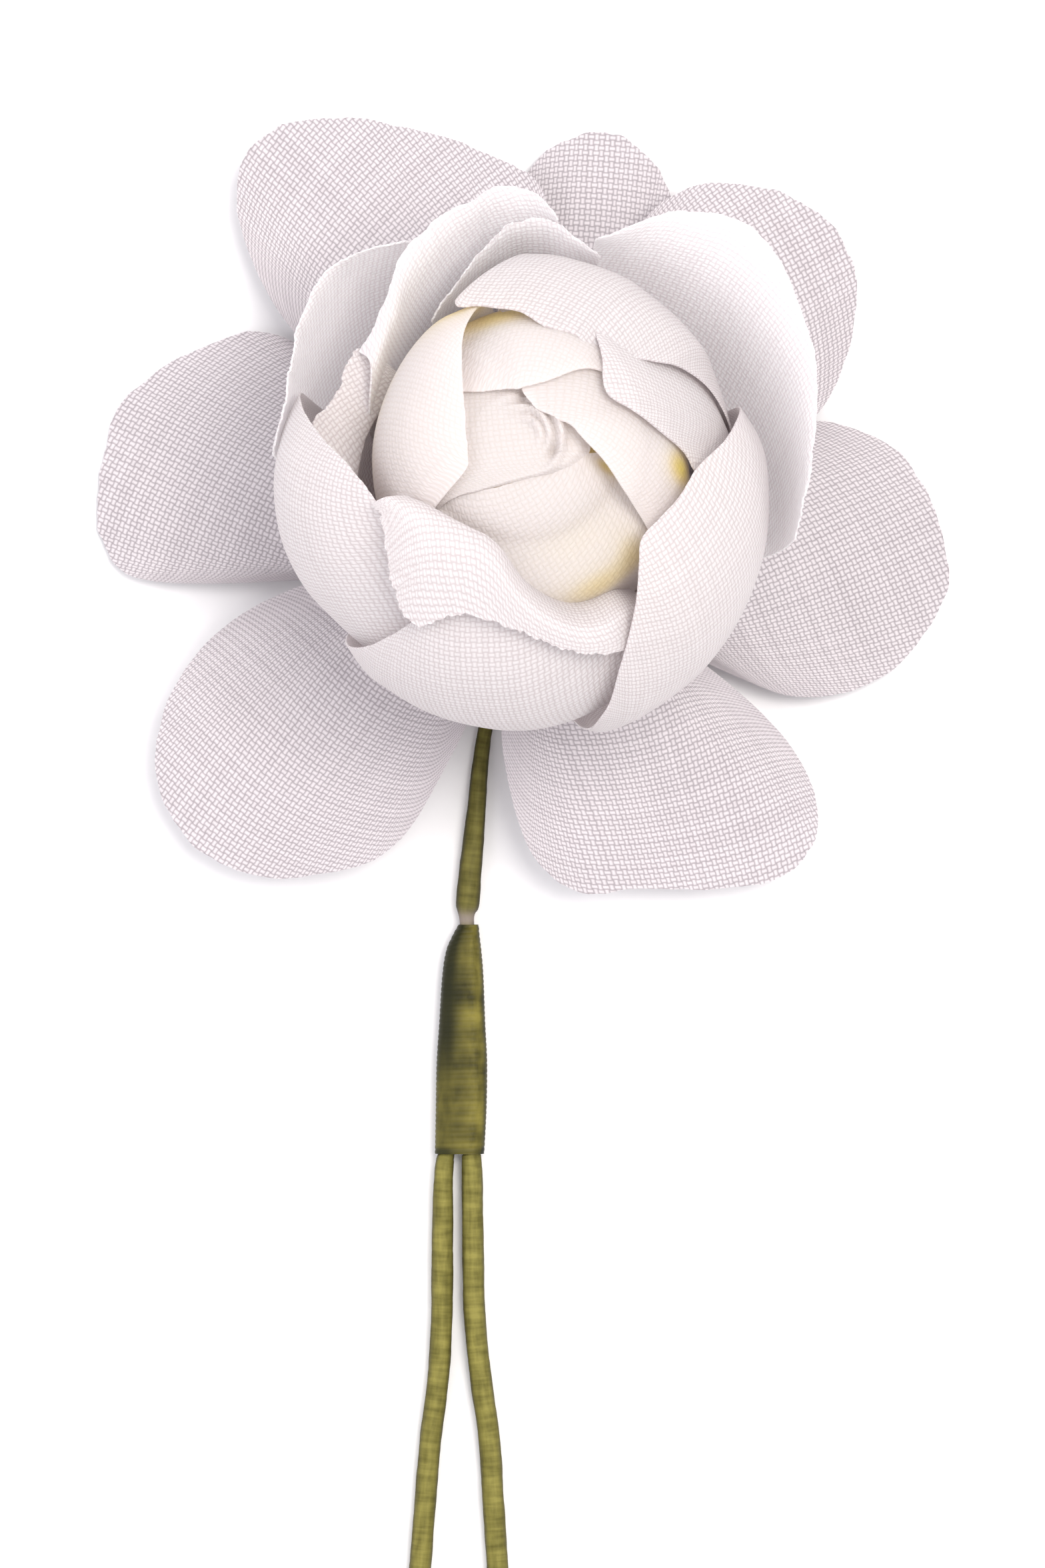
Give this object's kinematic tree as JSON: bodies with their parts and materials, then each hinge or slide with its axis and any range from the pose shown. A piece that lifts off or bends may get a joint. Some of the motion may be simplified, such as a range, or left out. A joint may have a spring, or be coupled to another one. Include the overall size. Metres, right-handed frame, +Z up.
{
  "type": "cloth flower boutonniere",
  "caption": "Boutonniere of a white cloth rosette with spread petals on a thin green covered wire, with a second wire lashed beside it as a two-legged tail. It lies bloom up.",
  "frame": {"origin": "under the middle of the piece, on the surface it lies on", "axes": "+Z is up, and the bloom faces it; +Y runs from the cut tails to the bloom; +X is to the right when the bloom is seen from above with the stem towards the viewer"},
  "size_m": [0.0552, 0.0994, 0.0312],
  "materials": {
    "petal_cloth": "white plain-woven polyester, faint lavender cast, soft sheen",
    "cup_cloth": "white plain-woven polyester, thin and half see-through",
    "rosette_cloth": "white plain-woven polyester, warm white",
    "heart_cloth": "white plain-woven polyester, cream in the depths",
    "core_foam": "cream foam",
    "stem_cover": "olive green floral covering, matt",
    "lashing_thread": "olive green thread, wound close",
    "wire_steel": "annealed wire"
  },
  "bodies": {
    "root": {"outer_petal_right": "petal_cloth", "outer_petal_top_right": "petal_cloth", "outer_petal_top": "petal_cloth", "outer_petal_top_left": "petal_cloth", "outer_petal_left": "petal_cloth", "outer_petal_bottom_left": "petal_cloth", "outer_petal_bottom_right": "petal_cloth", "cup_right_petal": "cup_cloth", "cup_top_left_petal": "cup_cloth", "cup_left_petal": "cup_cloth", "cup_top_petal": "cup_cloth", "wrap_right_petal": "rosette_cloth", "wrap_top_petal": "rosette_cloth", "wrap_bottom_petal": "rosette_cloth", "wrap_left_petal": "rosette_cloth", "wrap_upper_right_petal": "rosette_cloth", "left_point_petal": "rosette_cloth", "turned_out_petal": "rosette_cloth", "bud_left_petal": "heart_cloth", "bud_right_petal": "heart_cloth", "bud_bottom_petal": "heart_cloth", "bud_top_petal": "heart_cloth", "heart_left_petal": "heart_cloth", "heart_right_petal": "heart_cloth", "heart_roll_petal": "heart_cloth", "bud_core": "core_foam", "petal_hub": "stem_cover", "main_wire": "wire_steel", "main_wire_cover": "stem_cover", "second_wire": "wire_steel", "second_wire_cover": "stem_cover", "lashing": "lashing_thread"}
  },
  "joints": []
}
